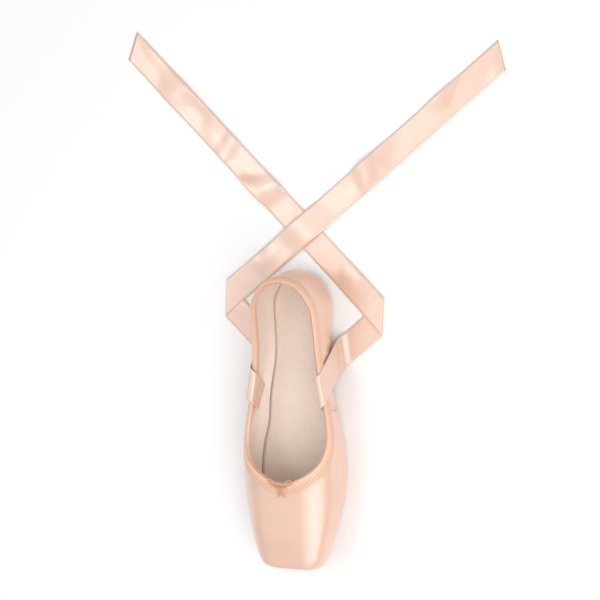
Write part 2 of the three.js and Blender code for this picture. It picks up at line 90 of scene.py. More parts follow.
# lines over the upper, heel to toe: number, widest outline x and y, sole's edge x and y, topline x, y and z
LINES = (
    (0, -120, 0, -106, 0, -114, 0, 56.5),
    (1, -117, 13, -103, 7.5, -111, 11.5, 56.0),
    (2, -106, 24, -97, 12.5, -102, 20.0, 53.5),
    (3, -88, 29, -86, 14.0, -87, 25.5, 49.5),
    (4, -60, 28.6, -60, 10.5, -60, 26.5, 43.5),
    (5, -30, 31, -30, 7.6, -30, 29.5, 39.6),
    (6, 0, 36.5, 0, 10.2, -4, 34.5, 38.0),
    (7, 22, 40.5, 22, 16.5, 12, 35.5, 39.2),
    (8, 42, 42.5, 40, 20.5, 25, 32.0, 42.0),
    (9, 62, 41.2, 58, 21.4, 34.5, 25.5, 44.8),
    (10, 82, 37, 72, 18.5, 41, 18.0, 47.5),
    (11, 102, 31.5, 82, 13.0, 45, 11.0, 49.5),
    (12, 118, 22, 89, 6.5, 46.8, 5.5, 50.5),
    (13, 120, 0, 92, 0, 47.5, 0, 50.8),
)
LINES_PER_GAP = (18, 12, 12, 16, 16, 40, 14, 12, 12, 14, 22, 30, 44)
# rows across those lines (0 the sole's edge, 1 the lower corner, 2 the widest outline, 3 the shoulder and
# 4 the topline) and how many steps the mesh has between two of them
ROWS = (0, 0.4, 0.7, 0.87, 1, 1.28, 1.6, 2, 2.4, 2.76, 3, 3.05, 3.2, 3.45, 3.72, 4)
ROW_SPLIT = 4
TOPLINE_ROW = 4
# where along the shoe the upper turns from quarter to box, and where the quarter's shoulder lies, as shares
# of the way up and in from the widest outline to the topline
TURNS_BOXY = (40, 110)
SHOULDER_UP, SHOULDER_IN = 0.62, 0.3

# the casing's section: how far below the topline, and how far out from the satin
CASING_OUTSIDE = (
    (8.4, 0.2), (8.55, 0.5), (8.4, 0.78), (7.9, 0.9), (7.3, 0.84), (6.9, 0.62), (6.5, 0.84), (5.9, 0.92),
    (5.5, 0.86), (5.1, 0.62), (4.7, 0.86), (4.0, 1.02), (3.1, 1.12), (2.1, 1.15), (1.1, 1.1), (0.3, 0.95),
    (-0.35, 0.6), (-0.75, 0.1),
)
CASING_INSIDE = (
    (-0.75, -0.4), (-0.4, -0.9), (0.3, -1.2), (1.6, -1.25), (3.0, -1.15), (4.4, -1.05), (5.6, -1.0),
    (6.0, -0.75), (6.0, -0.35), (3.0, -0.3), (-0.3, -0.3),
)
CASING_HIDDEN = ((-0.3, 0.25), (4.0, 0.25))
CASING_MIDDLE = 8  # the outside place whose length round the shoe measures the pucker
# the casing's pucker: length and height of its gathers, how much higher they grow toward the throat, and
# its slow waves; it fades out at the seam behind the heel
GATHER_LONG, GATHER_HIGH, GATHER_THROAT, THROAT_STARTS = 3.2, 0.1, 0.22, (10, 40)
WAVE_LONG, WAVE_HIGH = 14.0, 0.12
HEEL_CALM = (0, 8)
# the casing's two rows of stitches, by distance below the topline
STITCH_ROWS, STITCH_PITCH, STITCH_LONG, STITCH_WIDE = (6.9, 5.1), 2.7, 2.0, 0.5
# how much painted shade the casing gets where its edges and its rows of stitches pull in, by distance below
# the topline
CASING_PAINTED_SHADE = {8.4: 0.75, 8.55: 0.95, 6.9: 0.6, 5.1: 0.7, -0.75: 0.9}

# the drawstring's left side: out of the casing, round one loop of the bow, through the knot, to its end
CORD_THICK, CORD_STRANDS, CORD_LAY = 1.1, 3, 4.0
CORD_PATH = (
    (50.6, 0.6, 52.1), (50.0, 0.9, 52.9), (49.3, 1.5, 53.5),
    (48.6, 2.2, 53.8), (46.4, 4.2, 54.0), (44.0, 6.6, 53.9), (43.6, 9.2, 53.5), (45.6, 9.8, 53.1),
    (48.2, 7.2, 53.1), (50.0, 3.2, 53.5),
    (50.1, 1.2, 53.9), (50.6, 0.5, 53.7),
    (51.5, 0.9, 53.2), (53.4, 1.1, 52.7), (55.2, 1.4, 52.2), (57.0, 2.1, 51.3), (58.3, 3.0, 50.3),
)

# the knot: its middle's x and z, its turns' reach along, up and across, then their number, the steps in
# their path, and the radius and sides of the cord that makes them
KNOT_X, KNOT_Z, KNOT_LONG, KNOT_HIGH, KNOT_REACH = 49.7, 53.55, 0.945, 0.95, 0.9
KNOT_TURNS, KNOT_STEPS, KNOT_CORD, KNOT_SIDES = 1.75, 40, 0.55, 12

# the ribbons: their cut size, how far they clear what they lie on, the slant of their free ends in degrees,
# and their mesh's columns and step along
RIBBON_WIDE, RIBBON_LONG, RIBBON_THICK = 22, 430, 0.45
RIBBON_RAISED = 0.2
RIBBON_SLANT = 25
RIBBON_COLUMNS, RIBBON_STEP = 12, 2.5
# soft swells in the lying part: its height over the floor, where they begin along the ribbon, their width,
# length and height, and how gently they rise
LYING_BELOW, LYING_FROM = (5, 1), (95, 135)
SWELL_WIDE, SWELL_LONG, SWELL_HIGH, SWELL_SOFT, SWELL_EXTRA = 26.0, 34.0, 3.8, 0.15, 0.05
# the square of stitches at the sewn end: its margin from the ribbon's edges, its near and far rows, and its
# stitches' pitch, length, width and height
SQUARE_MARGIN, SQUARE_NEAR, SQUARE_FAR = 2, 2, 15
SQUARE_PITCH, SQUARE_STITCH = 2.2, (1.7, 0.7, 0.45)
# where a ribbon is sewn: the middle of its end, the direction of the end's edge, and its lean inward
SEWN_AT, SEWN_EDGE, SEWN_LEAN = (-16, 29.4, 21.2), (-0.98, -0.165, 0.07), 0.1
# each ribbon's lay: (flat run before a bend, turn, radius, skew), or ("land", height, radius)
RIBBON_LEFT = (
    (19, -178, 3.2, 28), ("land", 0.4, 9), (34, 184, 1.0, 43), ("land", 0.4, 30), (82, -14, 30, -8),
    (4, 26, 22, -22), ("land", 0.4, 30), (14, -9, 40, 5), (2, 17, 30, 12), ("land", 0.4, 30),
)
RIBBON_RIGHT = (
    (19.6, -177, 3.4, 31), ("land", 0.4, 9), (38, 184, 1.0, 42), ("land", 0.4, 30), (17, -9, 60, -4),
    (12, 16, 50, -10), ("land", 0.4, 50), (22, -12, 30, 8), (2, 22, 24, 18), ("land", 0.4, 30),
)

# soft creases in the quarters, on the side's own x and z: both ends, depth and half width; those on the -Y
# side lie a little further back
CREASE_SLIP = 3.0
# how much painted shade each crease adds to the satin's colour for its depth
CREASE_PAINTED_SHADE = 0.35
CREASE_STARTS, CREASE_STOPS = (-0.15, 0.3), (1.15, 0.7)
CREASES = (
    (-36, 9, -38, 24, 0.55, 2.0), (-45, 8, -49, 27, 0.8, 2.4), (-55, 8, -60, 23, 0.65, 2.2),
    (-66, 7, -70, 26, 0.5, 2.6), (-27, 10, -26, 21, 0.4, 1.9), (-50, 24, -44, 34, 0.35, 2.4),
    (-80, 8, -84, 20, 0.35, 2.3), (8, 9, 6, 20, 0.25, 2.4), (-74, 30, -62, 37, 0.3, 2.8),
)
# the side seam between quarter and vamp: its place, its bow toward the toe with the bow's middle and half
# height, and its dotted stretch: heights, pitch, each row's place along the shoe with how proud it stands,
# and a stitch's length and width
SEAM_X, SEAM_BOW, SEAM_MIDDLE, SEAM_REACH = -11.0, 1.8, 20, 18
SEAM_DOTS, SEAM_PITCH, SEAM_ROWS, SEAM_STITCH = (9.5, 22.0), 2.0, ((0.0, -0.2), (-2.6, 0.05)), (1.1, 0.6)
# a seam's trough with a ridge on each side: depth, half width, and the ridge's height, place and half width
SIDE_TROUGH = (0.5, 0.75, 0.18, 2.0, 1.1)
HEEL_TROUGH = (0.35, 0.8, 0.1, 2.2, 1.2)
# painted shade along the side and heel seams: its strength, its half width, and the rows over which it comes
# in
SEAM_SHADE, SEAM_SHADE_WIDE, SEAM_SHADE_FROM = 0.8, 0.55, (0.9, 1.1)
HEEL_SEAM_BEHIND = -100
# places in the noise, one for each use of it
GATHER_AT, WAVE_AT, SWELL_AT = 4.1, 7, 3.7
# the satin's slow unevenness: height and length, and the rows between which it, creases and seams show
UNEVEN_HIGH, UNEVEN_LONG = 0.28, 17.0
RELIEF_STARTS, RELIEF_STOPS = (0.25, 0.75), (3.55, 3.3)

# pleats under the toe: how far round they reach, their widths and heights, and as shares of a pleat the place
# and width of the painted shade at its crest, their long slope and their steep drop
PLEAT_REACH, PLEAT_WIDE, PLEAT_HIGH = 62.0, (3.4, 5.6), (0.65, 1.15)
PLEAT_CREST, PLEAT_SHARP, PLEAT_SLOPE, PLEAT_DROP = 0.94, 0.09, (0, 0.78), (1, 0.8)
# where the pleats fade: round the toe from its middle, and on the rows at the sole's edge and up the side
PLEATS_ROUND, PLEATS_START, PLEATS_STOP = (54, 28), (0.02, 0.22), (1.16, 0.41)


# ---------------------------------------------------------------- the last
def between(rows, column, at):
    """Values between table rows, on one smooth curve that keeps to the rows' own rise and fall."""
    x = np.array([row[0] for row in rows], float)
    y = np.array([row[column] for row in rows], float)
    slope = np.diff(y) / np.diff(x)
    before, after = slope[:-1], slope[1:]
    same = before * after > 0
    bend = np.zeros(len(x))
    bend[0], bend[-1] = slope[0], slope[-1]
    bend[1:-1][same] = 2 * before[same] * after[same] / (before[same] + after[same])
    at = np.asarray(at, float)
    i = np.searchsorted(x[1:-1], at, side="left")
    span = x[i + 1] - x[i]
    t = np.clip((at - x[i]) / span, 0, 1)
    t2, t3 = t * t, t**3
    return (
        (2 * t3 - 3 * t2 + 1) * y[i] + (t3 - 2 * t2 + t) * bend[i] * span
        + (3 * t2 - 2 * t3) * y[i + 1] + (t3 - t2) * bend[i + 1] * span
    )


def fade(value, none, full):
    """0 at one value and beyond, 1 at another and beyond, and smooth between them."""
    t = np.clip((value - none) / (full - none), 0, 1)
    return t * t * (3 - 2 * t)


def bell(off, wide):
    """1 in the middle and fading to both sides."""
    return np.exp(-((off / wide) ** 2))


def distances(line):
    """How far along a line of points each of them lies."""
    return np.concatenate([[0], np.cumsum(np.linalg.norm(np.diff(line, axis=0), axis=1))])


def underside(x):
    """The height of the upper's underside: flat at ball and heel, arched between, with toe spring."""
    spring = TOE_SPRING * np.clip((x - BALL_TO) / (TOE_X - BALL_TO), 0, None) ** SPRING_CURVE
    waist = np.clip((x - HEEL_FLAT_FROM) / (BALL_FROM - HEEL_FLAT_FROM), 0, 1)
    return OUTSOLE_THICK + FIT_GAP + spring + ARCH_RISE * np.sin(np.pi * waist) ** 2


def section(x, grow):
    """The last's section at x, grown on every side: half, flat, wide, top, bottom and roundness."""
    at = np.clip(x, HEEL_SPINE_X, TOE_X)
    rounding = np.clip(x - grow - (TOE_X - PLATFORM_EDGE), 0, None)
    inset = PLATFORM_EDGE - np.sqrt(np.clip(PLATFORM_EDGE**2 - rounding**2, 0, None))
    reach = grow - inset
    return (
        between(LAST, HALF, at) + reach, between(LAST, FLAT, at), between(LAST, WIDE, at),
        between(LAST, TOP, at) + reach, underside(at) - reach, between(LAST, ROUND, at),
    )


def turned_under(z, half, flat, wide, bottom):
    """The last's half width at heights below its widest outline."""
    down = np.clip((wide - z) / (wide - bottom), 0, 1)
    return flat + (half - flat) * (1 - down**TURN_UNDER) ** (1 / TURN_UNDER)


def inside(p, grow):
    """Which points are within the last, grown by a margin."""
    x, across, z = p.T
    half, flat, wide, top, bottom, power = section(x, grow)
    heel_reach = HEEL_SPINE_X + LENGTH / 2 + grow
    y = np.hypot(np.minimum(0, x - HEEL_SPINE_X) * half / heel_reach, across)
    over = (y / half) ** power + np.clip((z - wide) / (top - wide), 0, None) ** power <= 1
    out = np.clip((y - flat) / (half - flat), 0, None) ** TURN_UNDER
    down = np.clip((wide - z) / (wide - bottom), 0, None) ** TURN_UNDER
    under = np.where(y <= flat, z >= bottom, out + down <= 1)
    return np.where(z >= wide, over, under) & (x <= TOE_X + grow)


RAY_LONG, RAY_HALVINGS = 90.0, 36  # a ray's length beyond any form here, and how often it is halved


def on_last(guides, grow=0.0):
    """Points of the last's surface, grown by a margin, on the rays from its middle through the guides."""
    x = np.clip(guides[:, 0], HEEL_SPINE_X, TOE_SPINE_X)
    start = np.stack([x, np.zeros(len(x)), between(LAST, WIDE, x)], axis=1)
    ray = guides - start
    ray /= np.linalg.norm(ray, axis=1)[:, None]
    grow = np.broadcast_to(np.asarray(grow, float), len(x))
    near, far = np.zeros(len(x)), np.full(len(x), RAY_LONG)
    for _ in range(RAY_HALVINGS):
        mid = (near + far) / 2
        within = inside(start + ray * mid[:, None], grow)
        near, far = np.where(within, mid, near), np.where(within, far, mid)
    return start + ray * near[:, None]


def wall_at(x):
    """The upper's thickness along the shoe."""
    return WALL_QUARTER + (WALL_BOX - WALL_QUARTER) * fade(x, *WALL_GROWS)


def line_numbers():
    """The upper's lines from the heel round the +Y side to the toe, as places in the table of lines."""
    found = [gap + n / count for gap, count in enumerate(LINES_PER_GAP) for n in range(count)]
    return np.array(found + [len(LINES) - 1.0])


def guides_at(number, row):
    """The guide points of lines at rows, through which the last's surface is found."""
    number, row = np.broadcast_arrays(np.asarray(number, float), np.asarray(row, float))
    shape, number, row = number.shape, number.ravel(), row.ravel()
    side_x, side_y, sole_x, sole_y, top_x, top_y, top_z = (between(LINES, c, number) for c in range(1, 8))
    _, _, wide, top, bottom, _ = section(np.minimum(side_x, TOE_X - PLATFORM_EDGE), 0)
    boxy = fade(side_x, *TURNS_BOXY)
    shoulder = (wide + SHOULDER_UP * (top_z - wide)) * (1 - boxy) + top * boxy
    lean = SHOULDER_IN * (1 - boxy)
    marks = np.stack([
        np.stack([sole_x, sole_y, underside(sole_x)]),
        np.stack([side_x, side_y, bottom]),
        np.stack([side_x, side_y, wide]),
        np.stack([side_x + (top_x - side_x) * lean, side_y + (top_y - side_y) * lean, shoulder]),
        np.stack([top_x, top_y, top_z]),
    ])
    k = np.minimum(3, np.floor(row)).astype(int)
    each = np.arange(len(row))
    part = (row - k)[:, None]
    return (marks[k, :, each] * (1 - part) + marks[k + 1, :, each] * part).reshape(*shape, 3)


def all_round(half):
    """Both sides of the shoe from the +Y side's points: heel to toe, and back along the other side."""
    return np.concatenate([half, half[-2::-1] * np.array([1, -1, 1])])


def seam_line(z):
    """Where along the shoe the side seam lies at a height."""
    return SEAM_X + SEAM_BOW * (1 - ((z - SEAM_MIDDLE) / SEAM_REACH) ** 2)


# ---------------------------------------------------------------- forms laid onto grids
WELD = 0.002  # points closer than this are one


def spread_grid(points, weld=True):
    """A grid laid onto an array of points in millimetres, which its layers keep the places of."""
    bm = bmesh.new()
    across, along = points.shape[0] - 1, points.shape[1] - 1
    bmesh.ops.create_grid(bm, x_segments=across, y_segments=along, size=1)
    first, second = bm.verts.layers.float.new("first"), bm.verts.layers.float.new("second")
    for v in bm.verts:
        i, j = round((v.co.x + 1) / 2 * across), round((v.co.y + 1) / 2 * along)
        v[first], v[second] = i, j
        v.co = Vector(points[i, j]) * MM
    if weld:
        bmesh.ops.remove_doubles(bm, verts=bm.verts, dist=WELD * MM)
        bmesh.ops.recalc_face_normals(bm, faces=bm.faces)
    return bm


def close_ends(bm):
    """Fills a tube's open ends."""
    bmesh.ops.holes_fill(bm, edges=[e for e in bm.edges if e.is_boundary])
    bmesh.ops.recalc_face_normals(bm, faces=bm.faces)


def lofted(x, ring):
    """A closed form along x: each place of its ring has its own y and z at every x."""
    bm = spread_grid(np.array([np.stack([x, y, z + 0 * x], axis=1) for y, z in ring]).transpose(1, 0, 2))
    close_ends(bm)
    return bm


def finished(bm, name, materials, nodes=()):
    """The piece's object from its bmesh, riding on the shoe, standing for its CAD nodes."""
    for face in bm.faces:
        face.smooth = True
    mesh = bpy.data.meshes.new(name)
    bm.to_mesh(mesh)
    bm.free()
    piece = bpy.data.objects.new(name, mesh)
    bpy.context.scene.collection.objects.link(piece)
    for material in materials:
        mesh.materials.append(material)
    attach(piece, "root")
    if nodes:
        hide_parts(*nodes)
    return piece


LOOK_AHEAD = 0.4  # a line's direction is taken over this length


def resampled(line, step):
    """Points a step apart round a closed line, and the directions there."""
    line = np.concatenate([line, line[:1]])
    run = distances(line)
    count = max(2, round(run[-1] / step))
    marks = np.linspace(0, run[-1], count + 1)[:-1] + (run[-1] / count / 2)
    at = np.stack([np.interp(marks, run, line[:, c]) for c in range(3)], axis=1)
    ahead = np.stack([np.interp(marks + LOOK_AHEAD, run, line[:, c]) for c in range(3)], axis=1)
    return at, ahead - at


THREAD_FLAT = 0.45  # how high a stitch stands for its width
OUTWARD = 2  # the direction out of the cloth is taken over this length


def sew(bm, at, along, out, long, wide, high=None):
    """One stitch: a flattened bead of thread along the seam, half sunk into the cloth."""
    bead = bmesh.ops.create_uvsphere(bm, u_segments=6, v_segments=5, radius=1)["verts"]
    x = Vector(along).normalized()
    z = Vector(out)
    z = (z - x * z.dot(x)).normalized()
    turn = Matrix((x, z.cross(x), z)).transposed().to_4x4()
    size = Matrix.Diagonal((high or wide * THREAD_FLAT, wide / 2, long / 2, 1))
    lie = Matrix.Rotation(math.pi / 2, 4, "Y")
    place = Matrix.Translation(Vector(at) * MM) @ turn @ lie @ size @ Matrix.Scale(MM, 4)
    bmesh.ops.transform(bm, matrix=place, verts=bead)


# ---------------------------------------------------------------- materials
def colour(text):
    """A shader's linear colour from an sRGB hex value."""
    parts = [int(text[k:k + 2], 16) / 255 for k in (1, 3, 5)]
    return [p / 12.92 if p <= 0.04045 else ((p + 0.055) / 1.055) ** 2.4 for p in parts] + [1]


def add(tree, kind, inputs=None, **settings):
    """Adds one node with its settings, and sets or links its inputs."""
    made = tree.nodes.new("ShaderNode" + kind)
    for name, value in settings.items():
        setattr(made, name, value)
    for socket, value in (inputs or {}).items():
        if isinstance(value, bpy.types.NodeSocket):
            tree.links.new(value, made.inputs[socket])
        else:
            made.inputs[socket].default_value = value
    return made


def new_material(name, **constants):
    """A material with its Principled shader's constants set, its tree and that shader."""
    material = bpy.data.materials.new(name)
    material.use_nodes = True
    shader = material.node_tree.nodes["Principled BSDF"]
    for socket, value in constants.items():
        shader.inputs[socket.replace("_", " ")].default_value = value
    return material, material.node_tree, shader


# in the materials, noise scales are repeats a metre, and distances are metres
# satin: patches of slightly warmer colour about 40 mm long, and the part of their noise that blends them
SATIN_PATCHES, PATCHES_FROM, PATCHES_TO = 26.0, 0.36, 0.66
# its threads: the part of their noise that shows, and how much it tints, roughens and lifts the cloth
THREADS_FROM, THREADS_TO, THREAD_TINT, THREAD_ROUGH, THREAD_HIGH = 0.3, 0.7, 0.2, 0.12, 0.00004
# a ribbon's paler, firmer edge, by distance from its middle, and the painted shade for folds, creases, seams
# and stitch rows
SELVEDGE_FROM, SELVEDGE_TO, SELVEDGE_TINT, SELVEDGE_HIGH = 0.0101, 0.0104, 0.9, 0.00006
SELVEDGE_PALE, PAINTED_FOLD_SHADE, PAINTED_FOLD_SHADE_AMOUNT = "#F6D9C6", "#C08A6C", 0.75


def satin(name, base, warm, shade, smoothest, coat, lay, ribbon=False):
    """Polyester satin: long floating threads give a soft lengthwise lustre over a matte peach ground.

    A piece's fold attribute carries painted shade for its folds, creases, seams and stitch rows, and a
    ribbon's UV map lays its threads and selvedge."""
    material, tree, shader = new_material(
        name, IOR=1.68, Specular_IOR_Level=1.0, Coat_Weight=coat, Coat_IOR=1.8, Coat_Roughness=smoothest,
        Sheen_Weight=0.1, Sheen_Roughness=0.5, Sheen_Tint=colour("#FFE9DE"),
    )
    where = add(tree, "TexCoord").outputs["Object"]
    cloth = add(tree, "UVMap", uv_map="ribbon").outputs["UV"] if ribbon else where
    threads = add(tree, "Mapping", {"Vector": cloth, "Scale": lay})
    streaks = add(tree, "TexNoise", {"Vector": threads.outputs[0], "Scale": 1.0, "Detail": 2.0})
    broad = add(tree, "TexNoise", {"Vector": where, "Scale": SATIN_PATCHES, "Detail": 2.0,
                                   "Roughness": 0.45})
    ground = add(tree, "ValToRGB", {"Fac": broad.outputs["Fac"]})
    stops = ground.color_ramp.elements
    stops[0].position, stops[0].color = PATCHES_FROM, colour(base)
    stops[1].position, stops[1].color = PATCHES_TO, colour(warm)
    drawn = add(tree, "MapRange", {"Value": streaks.outputs["Fac"], "From Min": THREADS_FROM,
                                   "From Max": THREADS_TO, "To Min": 0.0, "To Max": THREAD_TINT})
    streaked = add(tree, "Mix", {"Factor": drawn.outputs[0], "A": ground.outputs[0], "B": colour(shade)},
                   data_type="RGBA")
    rough = add(tree, "MapRange", {"Value": streaks.outputs["Fac"], "From Min": THREADS_FROM,
                                   "From Max": THREADS_TO, "To Min": smoothest,
                                   "To Max": smoothest + THREAD_ROUGH})
    if ribbon:
        middle = add(tree, "SeparateXYZ", {0: cloth})
        off = add(tree, "Math", {0: middle.outputs["X"]}, operation="ABSOLUTE")
        amount = add(tree, "MapRange", {"Value": off.outputs[0], "From Min": SELVEDGE_FROM,
                                        "From Max": SELVEDGE_TO, "To Max": SELVEDGE_TINT})
        height = add(tree, "Math", {0: amount.outputs[0], 1: SELVEDGE_HIGH}, operation="MULTIPLY")
        mark = colour(SELVEDGE_PALE)
    else:
        # the fold attribute is painted shade: pleats, creases, seams, and the casing's edges and stitch rows
        fold = add(tree, "Attribute", attribute_name="fold")
        amount = add(tree, "Math", {0: fold.outputs["Fac"], 1: PAINTED_FOLD_SHADE_AMOUNT}, operation="MULTIPLY")
        height = add(tree, "Math", {0: streaks.outputs["Fac"], 1: THREAD_HIGH}, operation="MULTIPLY")
        mark = colour(PAINTED_FOLD_SHADE)
    marking = add(tree, "Mix", {"Factor": amount.outputs[0], "A": streaked.outputs["Result"], "B": mark},
                  data_type="RGBA")
    bump = add(tree, "Bump", {"Height": height.outputs[0], "Distance": 1.0, "Strength": 0.7})
    tree.links.new(marking.outputs["Result"], shader.inputs["Base Color"])
    tree.links.new(rough.outputs[0], shader.inputs["Roughness"])
    tree.links.new(bump.outputs[0], shader.inputs["Normal"])
    return material


# cotton: slubs about 2.4 mm and worn patches about 26 mm long, what they and the crossing threads each add
# to its paleness, and the weave's depth
SLUBS, WORN_PATCHES = 420.0, 38.0
SLUB_SHARE, WORN_SHARE, WEAVE_SHARE = 0.6, 0.5, 0.12
WEAVE_DEEP = 0.05 * MM


def plain_cloth(name, light, dark, pitch, roughness=0.9):
    """Woven cotton: matte threads crossing at a pitch in millimetres, with slubs and paler worn patches."""
    material, tree, shader = new_material(name, Roughness=roughness, IOR=1.5, Sheen_Weight=0.15)
    where = add(tree, "TexCoord").outputs["Object"]
    split = add(tree, "SeparateXYZ", {0: where})
    up = add(tree, "Math", {0: split.outputs["Y"], 1: split.outputs["Z"]}, operation="ADD")
    turns = 2 * math.pi / (pitch * MM)
    sets = []
    for run in (split.outputs["X"], up.outputs[0]):
        phase = add(tree, "Math", {0: run, 1: turns}, operation="MULTIPLY")
        wave = add(tree, "Math", {0: phase.outputs[0]}, operation="SINE")
        sets.append(wave.outputs[0])
    crossed = add(tree, "Math", {0: sets[0], 1: sets[1]}, operation="MULTIPLY")
    slubs = add(tree, "TexNoise", {"Vector": where, "Scale": SLUBS, "Detail": 3.0})
    patches = add(tree, "TexNoise", {"Vector": where, "Scale": WORN_PATCHES, "Detail": 2.0})
    slubby = add(tree, "Math", {0: slubs.outputs["Fac"], 1: SLUB_SHARE}, operation="MULTIPLY")
    worn = add(tree, "Math", {0: patches.outputs["Fac"], 1: WORN_SHARE, 2: slubby.outputs[0]},
               operation="MULTIPLY_ADD")
    woven = add(tree, "Math", {0: crossed.outputs[0], 1: WEAVE_SHARE, 2: worn.outputs[0]},
                operation="MULTIPLY_ADD")
    mixed = add(tree, "Mix", {"Factor": woven.outputs[0], "A": colour(dark), "B": colour(light)},
                data_type="RGBA")
    deep = add(tree, "Math", {0: woven.outputs[0], 1: WEAVE_DEEP}, operation="MULTIPLY")
    bump = add(tree, "Bump", {"Height": deep.outputs[0], "Distance": 1.0, "Strength": 0.8})
    tree.links.new(mixed.outputs["Result"], shader.inputs["Base Color"])
    tree.links.new(bump.outputs[0], shader.inputs["Normal"])
    return material


# suede: a nap of about 1 mm and patches about 22 mm long, what each adds to its paleness, and the nap's
# height
NAP, HIDE_PATCHES = 900.0, 45.0
NAP_SHARE, HIDE_SHARE, NAP_HIGH = 0.35, 0.8, 0.00006
# crossed scores: spacing across the sole, slant, wander, and where a score fades out and is full
SCORE_PITCH, SCORE_LEANS, SCORE_WANDER = 0.0052, (0.55, -0.55), 0.0012
SCORE_FADE, SCORE_FULL, SCORE_TINT, SCORE_DEEP = 0.00055, 0.0002, 0.65, -0.0003
# the scored zone along the shoe: it begins and ends over these stretches, and is worn thin in patches
SCORED_FROM, SCORED_TO, SCORED_THIN = (0.004, 0.016), (0.094, 0.086), (0.35, 0.6, 0.45)


def scored_suede(name, light, dark, scratch):
    """Split leather with its nap outward, scored crosswise under the forefoot for grip."""
    material, tree, shader = new_material(
        name, Roughness=0.86, IOR=1.5, Sheen_Weight=0.25, Sheen_Roughness=0.6,
    )
    where = add(tree, "TexCoord").outputs["Object"]
    nap = add(tree, "TexNoise", {"Vector": where, "Scale": NAP, "Detail": 3.0})
    patches = add(tree, "TexNoise", {"Vector": where, "Scale": HIDE_PATCHES, "Detail": 3.0})
    napped = add(tree, "Math", {0: nap.outputs["Fac"], 1: NAP_SHARE}, operation="MULTIPLY")
    tone = add(tree, "Math", {0: patches.outputs["Fac"], 1: HIDE_SHARE, 2: napped.outputs[0]},
               operation="MULTIPLY_ADD")
    ground = add(tree, "Mix", {"Factor": tone.outputs[0], "A": colour(dark), "B": colour(light)},
                 data_type="RGBA")
    place = add(tree, "SeparateXYZ", {0: where})
    waver = add(tree, "MapRange", {"Value": patches.outputs["Fac"], "To Min": -SCORE_WANDER,
                                   "To Max": SCORE_WANDER})
    lines = []
    for lean in SCORE_LEANS:
        slant = add(tree, "Math", {0: place.outputs["X"], 1: lean, 2: waver.outputs[0]},
                    operation="MULTIPLY_ADD")
        across = add(tree, "Math", {0: place.outputs["Y"], 1: slant.outputs[0]}, operation="ADD")
        turned = add(tree, "Math", {0: across.outputs[0], 1: SCORE_PITCH, 2: 0.0}, operation="WRAP")
        off = add(tree, "Math", {0: turned.outputs[0], 1: -SCORE_PITCH / 2}, operation="ADD")
        near = add(tree, "Math", {0: off.outputs[0]}, operation="ABSOLUTE")
        line = add(tree, "MapRange", {"Value": near.outputs[0], "From Min": SCORE_FADE,
                                      "From Max": SCORE_FULL})
        lines.append(line.outputs[0])
    crossed = add(tree, "Math", {0: lines[0], 1: lines[1]}, operation="MAXIMUM")
    begins = add(tree, "MapRange", {"Value": place.outputs["X"], "From Min": SCORED_FROM[0],
                                    "From Max": SCORED_FROM[1]})
    ends = add(tree, "MapRange", {"Value": place.outputs["X"], "From Min": SCORED_TO[0],
                                  "From Max": SCORED_TO[1]})
    zone = add(tree, "Math", {0: begins.outputs[0], 1: ends.outputs[0]}, operation="MULTIPLY")
    worn = add(tree, "MapRange", {"Value": patches.outputs["Fac"], "From Min": SCORED_THIN[0],
                                  "From Max": SCORED_THIN[1], "To Min": SCORED_THIN[2], "To Max": 1.0})
    zone = add(tree, "Math", {0: zone.outputs[0], 1: worn.outputs[0]}, operation="MULTIPLY")
    scoring = add(tree, "Math", {0: crossed.outputs[0], 1: zone.outputs[0]}, operation="MULTIPLY")
    pale = add(tree, "Math", {0: scoring.outputs[0], 1: SCORE_TINT}, operation="MULTIPLY")
    marked = add(tree, "Mix", {"Factor": pale.outputs[0], "A": ground.outputs["Result"],
                               "B": colour(scratch)}, data_type="RGBA")
    rough = add(tree, "Math", {0: nap.outputs["Fac"], 1: NAP_HIGH}, operation="MULTIPLY")
    deep = add(tree, "Math", {0: scoring.outputs[0], 1: SCORE_DEEP, 2: rough.outputs[0]},
               operation="MULTIPLY_ADD")
    bump = add(tree, "Bump", {"Height": deep.outputs[0], "Distance": 1.0, "Strength": 0.9})
    tree.links.new(marked.outputs["Result"], shader.inputs["Base Color"])
    tree.links.new(bump.outputs[0], shader.inputs["Normal"])
    return material


# the upper's satin runs heel to toe: threads drawn 0.6 mm apart, coarser than real so that they show
upper_satin = satin("peach_satin", "#E3B89E", "#E8BDA5", "#D1A288", 0.3, 0.8, (45, 1600, 1600))
# the same satin cut on the bias and pressed flat, so its lustre is broken up and its colour looks deeper
binding_satin = satin("bias_satin_tape", "#E8BA9A", "#ECC0A2", "#D5A080", 0.46, 0.15, (700, 700, 700))
# ribbon woven to its own width: smoother and shinier, with threads along it and a firm selvedge
ribbon_satin = satin("satin_ribbon_weave", "#E4BBA2", "#E9C1A9", "#D3A58A", 0.27, 0.8, (1600, 45, 1),
                     ribbon=True)
# unbleached cotton inside, matte and a little creamier than the sock that covers the insole
lining = plain_cloth("cotton_lining", "#F6EADF", "#E6D3C5", 0.9)
sock = plain_cloth("cotton_sock", "#F3E6DA", "#DDCABB", 1.1)
# sewing thread with a slight sheen, a shade darker than the satin
thread = plain_cloth("polyester_thread", "#D9A688", "#B98262", 0.5, roughness=0.55)
# soft three strand cotton cord with shaded grooves; its peach is darkened toward brown as painted shade, for
# the dark outlines the bow's loops have from their shadows
cord_cotton = plain_cloth("cotton_drawstring", "#DDB193", "#B98868", 0.6)
# pinkish split leather, nap outward
suede = scored_suede("sole_suede", "#E9C8C0", "#D2A398", "#F6E4DC")
# the brown line where sole and satin meet, partly a waxed dyed edge and partly painted shade of the gap
# between them, and the trimmed edge of the sole's own leather below it
edge_dye_and_gap_shade = plain_cloth("brown_edge_and_painted_gap_shade", "#8A5643", "#6A4030", 0.8, roughness=0.6)
edge_leather = plain_cloth("trimmed_leather_edge", "#F3D3C0", "#DDB29B", 0.8, roughness=0.7)


